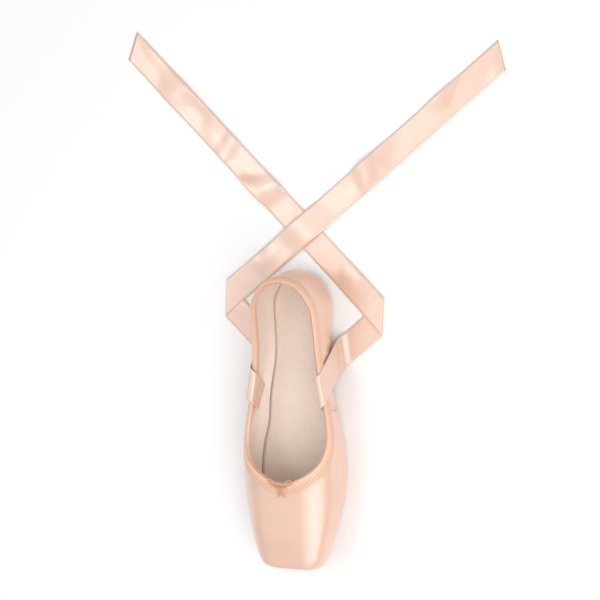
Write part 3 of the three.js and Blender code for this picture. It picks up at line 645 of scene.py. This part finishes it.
# ---------------------------------------------------------------- upper
def stroke(x, z, crease):
    """How deep a crease is at points of the side: a soft trough that fades at both ends."""
    x0, z0, x1, z1, depth, wide = crease
    dx, dz = x1 - x0, z1 - z0
    t = ((x - x0) * dx + (z - z0) * dz) / (dx * dx + dz * dz)
    off = np.hypot(x - x0 - t * dx, z - z0 - t * dz)
    return depth * bell(off, wide) * (fade(t, *CREASE_STARTS) * fade(t, *CREASE_STOPS))


def sewn_trough(off, trough):
    """How deep the satin lies at a distance from a seam."""
    deep, narrow, ridge, beside, broad = trough
    return deep * bell(off, narrow) - ridge * bell(abs(off) - beside, broad)


def pleats(run, row):
    """Gathered satin under the toe: how high each fold stands, and painted shade by how near its sharp edge a
    point is.
    """
    draw = random.Random(7)
    marks = [-PLEAT_REACH]
    while marks[-1] < PLEAT_REACH:
        marks.append(marks[-1] + draw.uniform(*PLEAT_WIDE))
    marks = np.array(marks)
    heights = np.array([draw.uniform(*PLEAT_HIGH) for _ in marks])
    k = np.clip(np.searchsorted(marks, run) - 1, 0, len(marks) - 2)
    t = np.clip((run - marks[k]) / (marks[k + 1] - marks[k]), 0, 1)
    t = np.where(run < 0, t, 1 - t)
    rise = fade(t, *PLEAT_SLOPE) * fade(t, *PLEAT_DROP)
    shown = fade(np.abs(run), *PLEATS_ROUND) * fade(row, *PLEATS_START) * fade(row, *PLEATS_STOP)
    return heights[k] * rise * shown, bell(t - PLEAT_CREST, PLEAT_SHARP) * shown


def make_upper():
    """The satin shell with its lining: seams, creases and pleats outside with painted shade in them, the bare
    wall inside.
    """
    number = line_numbers()
    rows = np.interp(np.arange(ROW_SPLIT * (len(ROWS) - 1) + 1) / ROW_SPLIT, np.arange(len(ROWS)), ROWS)
    guides = all_round(guides_at(number[:, None], rows[None, :]))
    lines, count = guides.shape[:2]
    flat = guides.reshape(-1, 3)
    calm = on_last(flat).reshape(lines, count, 3)
    corner = calm[:, np.argmin(abs(rows - 1))]
    run = distances(corner)
    run = run - run[-1] / 2
    # the pleats' second value is painted shade, gathered with that of the creases and seams
    fold, dark = pleats(run[:, None], rows[None, :])
    x, y, z = calm[..., 0], calm[..., 1], calm[..., 2]
    shown = fade(rows, *RELIEF_STOPS) * fade(rows, *RELIEF_STARTS)
    soft = np.zeros((lines, count))
    slipped = x + np.where(y > 0, 0, CREASE_SLIP)
    for crease in CREASES:
        cut = stroke(slipped, z, crease)
        soft -= cut
        # painted shade in each crease, by its depth
        dark = dark + CREASE_PAINTED_SHADE * cut
    seam = x - seam_line(z)
    heel = np.where(x < HEEL_SEAM_BEHIND, 1, 0)
    soft -= sewn_trough(seam, SIDE_TROUGH)
    soft -= heel * sewn_trough(y, HEEL_TROUGH)
    uneven = np.array([noise.noise(Vector(p) / UNEVEN_LONG) for p in calm.reshape(-1, 3)])
    soft += UNEVEN_HIGH * uneven.reshape(lines, count)
    # painted shade down the side seam and the heel seam
    painted_seam_shade = bell(seam, SEAM_SHADE_WIDE) + heel * bell(y, SEAM_SHADE_WIDE)
    dark = dark + SEAM_SHADE * painted_seam_shade * fade(rows, *SEAM_SHADE_FROM)
    outer = on_last(flat, (fold + soft * shown).ravel()).reshape(lines, count, 3)
    inner = on_last(flat, -wall_at(flat[:, 0])).reshape(lines, count, 3)
    shell = np.concatenate([outer, inner[:, ::-1], outer[:, :1]], axis=1)
    bm = spread_grid(shell)
    # the fold layer holds the painted shade of pleats, creases and seams; the lining gets none
    shade = bm.verts.layers.float.new("fold")
    first, second = bm.verts.layers.float["first"], bm.verts.layers.float["second"]
    for v in bm.verts:
        i, j = round(v[first]) % (lines - 1), round(v[second])
        v[shade] = dark[i, j] if j < count else 0
    for face in bm.faces:
        face.material_index = 0 if max(v[second] for v in face.verts) < count else 1
    finished(bm, "upper_shell", [upper_satin, lining], ["upper"])


# ---------------------------------------------------------------- binding
def casing_points(number, places):
    """Points round the casing's section on every line, from places below the topline and their rise."""
    steps = 80  # on each side of the topline
    rows = np.linspace(TOPLINE_ROW - 1, TOPLINE_ROW + 1, 2 * steps + 1)
    guides = guides_at(number[:, None], rows[None, :])
    skin = on_last(guides.reshape(-1, 3)).reshape(len(number), len(rows), 3)
    made = []
    for i, line in enumerate(number):
        away = np.linalg.norm(skin[i] - skin[i, steps], axis=1)
        away[steps + 1:] *= -1
        row = np.interp([place[0] for place in places], away[::-1], rows[::-1])
        made.append(guides_at(line, row))
    made = np.array(made)
    rise = np.broadcast_to(np.array([place[1] for place in places]), made.shape[:2])
    return made, rise


def make_binding():
    """The drawstring's casing, folded over the topline and puckered, with its two rows of stitches."""
    number = line_numbers()
    places = list(CASING_OUTSIDE)
    inner = [(below, out - WALL_QUARTER) for below, out in CASING_INSIDE]
    guides, rise = casing_points(number, places + inner + list(CASING_HIDDEN) + places[:1])
    place = np.arange(rise.shape[1])
    outside = place < len(places)
    inward = ~outside & (place < len(places) + len(inner))
    box = wall_at(guides[:, 0, 0]) - WALL_QUARTER
    rise = rise - box[:, None] * inward[None, :]
    guides, rise = all_round(guides), np.concatenate([rise, rise[-2::-1]])
    lines, count = rise.shape
    calm = on_last(guides[:, CASING_MIDDLE])
    run = distances(calm)
    gather = np.array([noise.noise(Vector((s / GATHER_LONG, 0, GATHER_AT))) for s in run])
    wave = np.array([noise.noise(Vector((s / WAVE_LONG, WAVE_AT, 0))) for s in run])
    gather *= GATHER_HIGH + GATHER_THROAT * fade(calm[:, 0], *THROAT_STARTS)
    pucker = (gather + WAVE_HIGH * wave) * fade(np.minimum(run, run[-1] - run), *HEEL_CALM)
    rise = rise + pucker[:, None] * outside[None, :]
    ring = on_last(guides.reshape(-1, 3), rise.ravel()).reshape(lines, count, 3)
    ring[:, -1] = ring[:, 0]
    bm = spread_grid(ring)
    shade = bm.verts.layers.float.new("fold")
    second = bm.verts.layers.float["second"]
    # painted shade at the casing's edges and rows of stitches
    dark = [CASING_PAINTED_SHADE.get(below, 0) if out > 0 else 0 for below, out in places]
    for v in bm.verts:
        k = round(v[second])
        v[shade] = dark[k] if k < len(dark) else 0
    finished(bm, "binding_casing", [binding_satin], ["binding"])
    stitches = bmesh.new()
    for row in STITCH_ROWS:
        k = min(range(len(places)), key=lambda n: abs(places[n][0] - row))
        path = ring[:-1, k]
        away = on_last(guides[:-1, k], rise[:-1, k] + OUTWARD) - path
        for p, ahead in zip(*resampled(path, STITCH_PITCH)):
            out = away[np.argmin(np.linalg.norm(path - p, axis=1))]
            sew(stitches, p, ahead, out, STITCH_LONG, STITCH_WIDE)
    finished(stitches, "binding_stitches", [thread])


# ---------------------------------------------------------------- outsole
CLOSER_ENDS = 0.55  # how strongly the sections crowd toward heel and toe
BLUNT_END = 0.05  # the outsole stops this far short of its outline's two points


def stations(start, end, count):
    """Places along the shoe for a form's sections, closer together at both ends."""
    k = np.arange(count) / (count - 1)
    return start + (end - start) * (CLOSER_ENDS * (1 - np.cos(np.pi * k)) / 2 + (1 - CLOSER_ENDS) * k)


def make_outsole():
    """The thin leather sole: flat under the upper, upright at its edge, then slanting in to its tread."""
    x = stations(OUTSOLE[0][0] + BLUNT_END, OUTSOLE[-1][0] - BLUNT_END, OUTSOLE_SECTIONS)
    half = between(OUTSOLE, 1, x)
    top = underside(x) - FIT_GAP
    skive = np.minimum(OUTSOLE_SKIVE, half * 0.5)
    edge = [(half, top - drop) for drop in (0.25, 0.5, OUTSOLE_UPRIGHT)]
    for turn in np.linspace(0, math.pi / 2, 6)[1:]:
        fall = OUTSOLE_UPRIGHT + (OUTSOLE_THICK - OUTSOLE_UPRIGHT) * np.sin(turn)
        edge.append((half - skive * (1 - np.cos(turn)), top - fall))
    ring = [(half * t, top) for t in np.linspace(-1, 1, 9)] + edge
    ring += [((half - skive) * t, top - OUTSOLE_THICK) for t in np.linspace(1, -1, 33)[1:-1]]
    ring += [(-y, z) for y, z in reversed(edge)] + ring[:1]
    finished(lofted(x, ring), "outsole_leather", [suede], ["outsole"])


EDGE_STEP, EDGE_SIDES = 1.6, 8


def make_edge_line(name, out, below, radius, material):
    """A fine bead along the whole outline of the outsole, near where it meets the satin."""
    x = stations(OUTSOLE[0][0], OUTSOLE[-1][0], EDGE_SECTIONS)
    side = np.stack([x, between(OUTSOLE, 1, x) + out, underside(x) - below], axis=1)
    outline = np.concatenate([side, side[-2:0:-1] * np.array([1, -1, 1])])
    at, _ = resampled(outline, EDGE_STEP)
    finished(tube(at, radius, EDGE_SIDES, closed=True), name, [material])


# ---------------------------------------------------------------- side seams
def make_seam_dots():
    """Stitches that show along the lower part of each side seam, in two rows."""
    stitches = bmesh.new()
    z = np.arange(*SEAM_DOTS, SEAM_PITCH)
    for side in (1, -1):
        for off, proud in SEAM_ROWS:
            x = seam_line(z) + off
            half, flat, wide, top, bottom, power = section(x, 0)
            up = np.clip((z - wide) / (top - wide), 0, 1)
            low = turned_under(z, half, flat, wide, bottom)
            y = np.where(z < wide, low, half * (1 - up**power) ** (1 / power)) * side
            spots = np.stack([x, y, z], axis=1)
            away = on_last(spots, OUTWARD) - spots
            for p, out in zip(on_last(spots, proud), away):
                sew(stitches, p, (0, 0, 1), out, *SEAM_STITCH)
    finished(stitches, "side_seam_stitches", [thread])


# ---------------------------------------------------------------- insole
def make_insole():
    """The sock on its board: a rounded edge along the lining, a soft dip across and a round toe."""
    x = stations(SOCK_HEEL, SOCK_TOE, SOCK_SECTIONS)
    low = underside(x) + wall_at(x) + FIT_GAP
    edge = []
    for lift, gap in SOCK_RINGS:
        z = low + lift
        half, flat, wide, _, bottom, _ = section(x, -wall_at(x) - gap)
        reach = turned_under(z, half, flat, wide, bottom)
        heel_reach = HEEL_SPINE_X + LENGTH / 2 - wall_at(x) - gap
        back = np.clip(HEEL_SPINE_X - x, 0, None) * half / heel_reach
        front = np.clip((x - SOCK_ROUND_FROM) / SOCK_ROUND_LONG, 0, None)
        y = np.sqrt(np.clip(reach**2 - back**2, 0, None)) * np.sqrt(np.clip(1 - front**2, 0, None))
        edge.append((y, z))
    side, (y, z) = edge[:2], edge[2]
    ring = [(-across, up) for across, up in side]
    ring += [(y * t, z - SOCK_DIP * (1 - t * t)) for t in np.linspace(-1, 1, 17)]
    ring += side[::-1] + [(0 * x, low + SOCK_RINGS[0][0]), ring[0]]
    finished(lofted(x, ring), "insole_sock", [sock], ["insole"])


# ---------------------------------------------------------------- cords
STRAND_GROOVE = 0.2  # how far the grooves between strands go in, as a share of the cord's radius
CORD_STEP, CORD_SIDES = 0.35, 15
CURVE_SPLIT = 24  # points on a smooth curve between two of its route's points


def tube(path, radius, sides, closed=False, strands=0):
    """A round cord along a path, plain or of twisted strands."""
    path = [Vector(p) for p in path]
    count = len(path)
    up = Vector((0, 0, 1))
    rings = []
    run = 0
    for k, p in enumerate(path):
        ahead = path[(k + 1) % count] if closed or k < count - 1 else p
        behind = path[k - 1] if closed or k > 0 else p
        tangent = (ahead - behind).normalized()
        up = (up - tangent * up.dot(tangent)).normalized()
        side = tangent.cross(up)
        run += (p - path[k - 1]).length if k else 0
        ring = []
        for n in range(sides + 1):
            turn = 2 * math.pi * n / sides
            twist = turn - 2 * math.pi * run / CORD_LAY
            groove = STRAND_GROOVE * (1 - abs(math.cos(strands / 2 * twist)))
            ring.append(p + (side * math.cos(turn) + up * math.sin(turn)) * radius * (1 - groove))
        rings.append(ring)
    if closed:
        rings.append(rings[0])
    bm = spread_grid(np.array(rings))
    if not closed:
        close_ends(bm)
    return bm


def rounded(points, step):
    """Points a step apart on a smooth curve through a route, and the curve's length."""
    points = np.array(points, float)
    ends = np.concatenate([[2 * points[0] - points[1]], points, [2 * points[-1] - points[-2]]])
    curve = []
    for k in range(len(points) - 1):
        a, b, c, d = ends[k:k + 4]
        for t in np.linspace(0, 1, CURVE_SPLIT, endpoint=False):
            curve.append(0.5 * (2 * b + (c - a) * t + (2 * a - 5 * b + 4 * c - d) * t * t
                                + (3 * b - a - 3 * c + d) * t**3))
    curve = np.array(curve + [points[-1]])
    run = distances(curve)
    marks = np.linspace(0, run[-1], round(run[-1] / step) + 1)
    return np.stack([np.interp(marks, run, curve[:, c]) for c in range(3)], axis=1), run[-1]


def make_bow():
    """The drawstring's tiny bow: a knot of turns, and on each side one cord with its loop and its end."""
    turns = []
    for share in np.arange(KNOT_STEPS + 1) / KNOT_STEPS:
        turn = 2 * math.pi * KNOT_TURNS * share
        turns.append((KNOT_X + KNOT_LONG * math.cos(turn), KNOT_REACH * (2 * share - 1),
                      KNOT_Z + KNOT_HIGH * math.sin(turn)))
    knot = finished(tube(turns, KNOT_CORD, KNOT_SIDES, strands=CORD_STRANDS), "drawstring_wraps",
                    [cord_cotton], ["drawstring_knot"])
    for name, side in (("left", 1), ("right", -1)):
        path, long = rounded([(x, side * y, z) for x, y, z in CORD_PATH], CORD_STEP)
        cord = finished(tube(path, CORD_THICK / 2, CORD_SIDES, strands=CORD_STRANDS), f"drawstring_{name}",
                        [cord_cotton],
                        [f"drawstring_loop_{name}", f"drawstring_end_{name}"])


# ---------------------------------------------------------------- ribbons
BEND_STEP, FEWEST_STEPS = 5, 4  # degrees of a bend from one line to the next, and the fewest lines in one


def ribbon_rulings(lay):
    """The straight lines across a ribbon about which it bends.

    Each is given by its low and high end, its place along the ribbon and its slant. Flat cloth can only
    bend about such lines, so the ribbon keeps the size it was cut to."""
    first_skew = math.radians(lay[0][3])
    edge = Vector(SEWN_EDGE).normalized()
    up = Vector((0, -SEWN_LEAN, 1))
    up = (up - edge * up.dot(edge)).normalized()
    at = Vector(SEWN_AT)
    along = up * math.cos(first_skew) + edge * math.sin(first_skew)
    across = edge * math.cos(first_skew) - up * math.sin(first_skew)
    rulings, used = [], 0.0

    def rule(angle):
        line = along * math.sin(angle) + across * math.cos(angle)
        reach = RIBBON_WIDE / 2 / math.cos(angle)
        rulings.append((at - line * reach, at + line * reach, used, math.tan(angle)))
        return line

    rule(0)
    for bend in lay:
        if bend[0] == "land":
            _, height, radius = bend
            face = along.cross(across)
            level = Vector((face.y, -face.x, 0)).normalized()
            if level.dot(across) < 0:
                level.negate()
            angle = math.atan2(level.dot(along), level.dot(across))
            square = along * math.cos(angle) - across * math.sin(angle)
            slope = math.asin(-square.z)
            turn = slope if face.z > 0 else -slope
            run = (at.z - height - radius * (1 - math.cos(slope))) / -along.z
        else:
            run, turn, radius, skew = bend
            turn, angle = math.radians(turn), math.radians(skew)
        at = at + along * run
        used += run
        steps = max(FEWEST_STEPS, math.ceil(abs(math.degrees(turn)) / BEND_STEP))
        arc = radius * abs(turn) / math.cos(angle) / steps
        for _ in range(steps):
            at = at + along * (arc / 2)
            used += arc / 2
            spin = Matrix.Rotation(-turn / steps, 3, rule(angle))
            along, across = spin @ along, spin @ across
            at = at + along * (arc / 2)
            used += arc / 2
    at = at + along * (RIBBON_LONG - used)
    used = RIBBON_LONG
    rule(math.radians(RIBBON_SLANT))
    return rulings


def make_ribbon(name, lay, side):
    """One ankle ribbon: flat cloth bent along its lay, with soft swells where it lies down."""
    rulings = ribbon_rulings(lay)
    shares = np.arange(RIBBON_COLUMNS + 1) / RIBBON_COLUMNS
    rows, places = [], []
    for here, there in zip(rulings, rulings[1:]):
        far = max((there[0] - here[0]).length, (there[1] - here[1]).length)
        pieces = max(1, round(far / RIBBON_STEP))
        for n in range(pieces + (there is rulings[-1])):
            t = n / pieces
            low, high = here[0].lerp(there[0], t), here[1].lerp(there[1], t)
            used = here[2] + (there[2] - here[2]) * t
            slant = here[3] + (there[3] - here[3]) * t
            rows.append([tuple(low.lerp(high, share)) for share in shares])
            offset = (shares - 0.5) * RIBBON_WIDE
            places.append(np.stack([offset, used + offset * slant], axis=1))
    points, places = np.array(rows), np.array(places)
    lying = fade(points[..., 2], *LYING_BELOW) * fade(places[..., 1], *LYING_FROM)
    swell = np.array([[noise.noise(Vector((along / SWELL_LONG, across / SWELL_WIDE, SWELL_AT + side)))
                       for across, along in row] for row in places])
    lift = np.clip(swell + SWELL_EXTRA, 0, None)
    points[..., 2] += RIBBON_RAISED + lying * SWELL_HIGH * lift**2 / (lift + SWELL_SOFT)
    points[..., 1] *= side
    bm = spread_grid(points, weld=False)
    uv = bm.loops.layers.uv.new("ribbon")
    first, second = bm.verts.layers.float["first"], bm.verts.layers.float["second"]
    for face in bm.faces:
        for loop in face.loops:
            loop[uv].uv = places[round(loop.vert[first]), round(loop.vert[second])] * MM
    bm.normal_update()
    bmesh.ops.solidify(bm, geom=bm.faces, thickness=RIBBON_THICK * MM)
    bmesh.ops.recalc_face_normals(bm, faces=bm.faces)
    piece = finished(bm, f"ankle_{name}", [ribbon_satin], [name])
    sew_ribbon_end(name, rulings, side)


def sew_ribbon_end(name, rulings, side):
    """The square of stitches that holds a ribbon's end to the lining."""
    mirror = Matrix.Diagonal((1, side, 1))
    low, high = mirror @ rulings[0][0], mirror @ rulings[0][1]
    across = (high - low).normalized()
    ahead = mirror @ (rulings[1][0] + rulings[1][1]) - low - high
    ahead = (ahead - across * ahead.dot(across)).normalized()
    out = across.cross(ahead)
    start = (low + high) / 2 + out * RIBBON_THICK / 2
    reach = RIBBON_WIDE / 2 - SQUARE_MARGIN
    square = [(-reach, SQUARE_NEAR), (reach, SQUARE_NEAR), (reach, SQUARE_FAR), (-reach, SQUARE_FAR)]
    corners = np.array([start + across * a + ahead * b for a, b in square])
    stitches = bmesh.new()
    for p, direction in zip(*resampled(corners, SQUARE_PITCH)):
        sew(stitches, p, direction, out, *SQUARE_STITCH)
    finished(stitches, f"{name}_stitches", [thread])


make_bow()
make_upper()
make_binding()
make_outsole()
# the brown bead: a dyed edge, and painted shade of the gap between sole and satin
make_edge_line("sole_edge_line", out=0.12, below=0.3, radius=0.45, material=edge_dye_and_gap_shade)
make_edge_line("sole_edge_trim", out=0.05, below=1.15, radius=0.4, material=edge_leather)
make_seam_dots()
make_insole()
make_ribbon("ribbon_left", RIBBON_LEFT, side=1)
make_ribbon("ribbon_right", RIBBON_RIGHT, side=-1)


# ---------------------------------------------------------------- camera, light and floor
def aimed(made, at, target, up=Vector((-1, 0, 0))):
    """Places a camera or light at a point, looking at another, with the given direction upward."""
    back = (Vector(at) - Vector(target)).normalized()
    top = (up - back * up.dot(back)).normalized()
    made.matrix_world = Matrix.Translation(at) @ Matrix((top.cross(back), top, back)).transposed().to_4x4()
    bpy.context.scene.collection.objects.link(made)
    return made


TARGET = Vector((-0.096, 0.004, 0.02))
TOWARD, CAMERA_AWAY = Vector((-0.10, 0.37, 0.92)).normalized(), 1.33
lens = bpy.data.cameras.new("studio_camera")
lens.lens = 100
camera = aimed(bpy.data.objects.new("studio_camera", lens), TARGET + TOWARD * CAMERA_AWAY, TARGET)
bpy.context.scene.camera = camera


def softbox(name, at, target, wide, high, watts, tint="#FFFFFF"):
    """A soft rectangular light at a point, facing another."""
    light = bpy.data.lights.new(name, "AREA")
    light.shape = "RECTANGLE"
    light.size, light.size_y, light.energy = high, wide, watts
    light.color = colour(tint)[:3]
    return aimed(bpy.data.objects.new(name, light), Vector(at), Vector(target))


# a broad light from the toe's +Y side draws the highlight down the vamp, a large one fills in from the other
# side, and a small one brings out the ribbons' lustre
softbox("side_softbox", (0.35, 0.75, 1.07), (0.35, 0.0, 0.03), wide=2.0, high=1.1, watts=14, tint="#FFFCFC")
softbox("fill_softbox", (0.1, -0.9, 1.4), (0.0, 0.0, 0.0), wide=1.8, high=1.8, watts=6.5)
softbox("ribbon_softbox", (-0.3, -0.6, 1.4), (-0.25, 0.0, 0.0), wide=0.5, high=0.4, watts=2.0)

AMBIENT, FLOOR_HALF = 0.5, 30
world = bpy.data.worlds.new("studio")
world.use_nodes = True
backdrop = world.node_tree.nodes["Background"]
backdrop.inputs["Color"].default_value = colour("#FFFFFF")
backdrop.inputs["Strength"].default_value = AMBIENT
bpy.context.scene.world = world
bpy.context.scene.view_settings.view_transform = "Standard"

floor_bm = bmesh.new()
bmesh.ops.create_grid(floor_bm, x_segments=1, y_segments=1, size=FLOOR_HALF)
floor_mesh = bpy.data.meshes.new("floor")
floor_bm.to_mesh(floor_mesh)
floor_bm.free()
floor = bpy.data.objects.new("floor", floor_mesh)
bpy.context.scene.collection.objects.link(floor)
floor_paint, _, _ = new_material("studio_floor", Base_Color=colour("#F8F8F8"), Roughness=0.9)
floor_mesh.materials.append(floor_paint)
